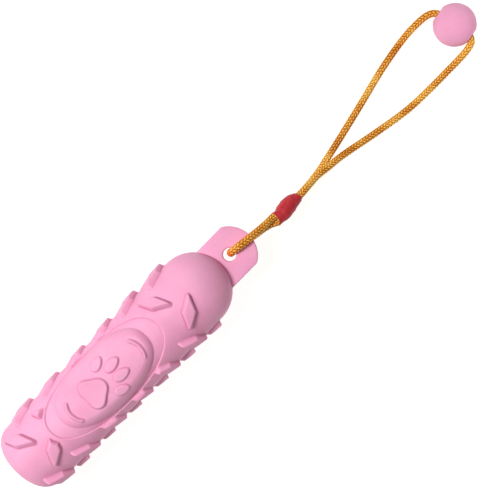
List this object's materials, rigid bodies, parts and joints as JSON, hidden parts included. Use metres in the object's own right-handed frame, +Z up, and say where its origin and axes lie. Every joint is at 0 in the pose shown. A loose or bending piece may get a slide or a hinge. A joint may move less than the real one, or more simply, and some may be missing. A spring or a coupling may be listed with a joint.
{
  "type": "training bumper",
  "caption": "Studded moulded dog training bumper with an end tab, throw cord loop, shrink sleeve and toggle ball.",
  "frame": {"origin": "on the surface that the bumper rests on, under the middle of the moulded body, tab included", "axes": "+X along the body from its rounded base to its tab and on along the throw cord, +Z up, square to the tab's faces and through the middle of the upper medallion"},
  "size_m": [0.4452, 0.0592, 0.06],
  "materials": {
    "bumper_rubber": "matte foamed thermoplastic rubber",
    "braided_cord": "glossy braided polypropylene",
    "shrink_tube": "satin shrink tube",
    "whipping_thread": "waxed thread",
    "ball_rubber": "matte foamed thermoplastic rubber"
  },
  "bodies": {
    "bumper": {"bumper_body": "bumper_rubber"},
    "lanyard": {"throw_cord": "braided_cord", "shrink_sleeve": "shrink_tube", "splice_whipping": "whipping_thread"},
    "ball": {"toggle_ball": "ball_rubber"}
  },
  "joints": [
    {"name": "lanyard_swing", "type": "hinge", "parent": "bumper", "child": "lanyard", "pos_m": [0.0942, 0, 0.03], "axis": [0, 0, 1], "range_deg": [-90, 90]},
    {"name": "ball_spin", "type": "hinge", "parent": "lanyard", "child": "ball", "pos_m": [0.317, 0.0002, 0.015], "axis": [-0.178, 0.984, 0], "continuous": true}
  ]
}
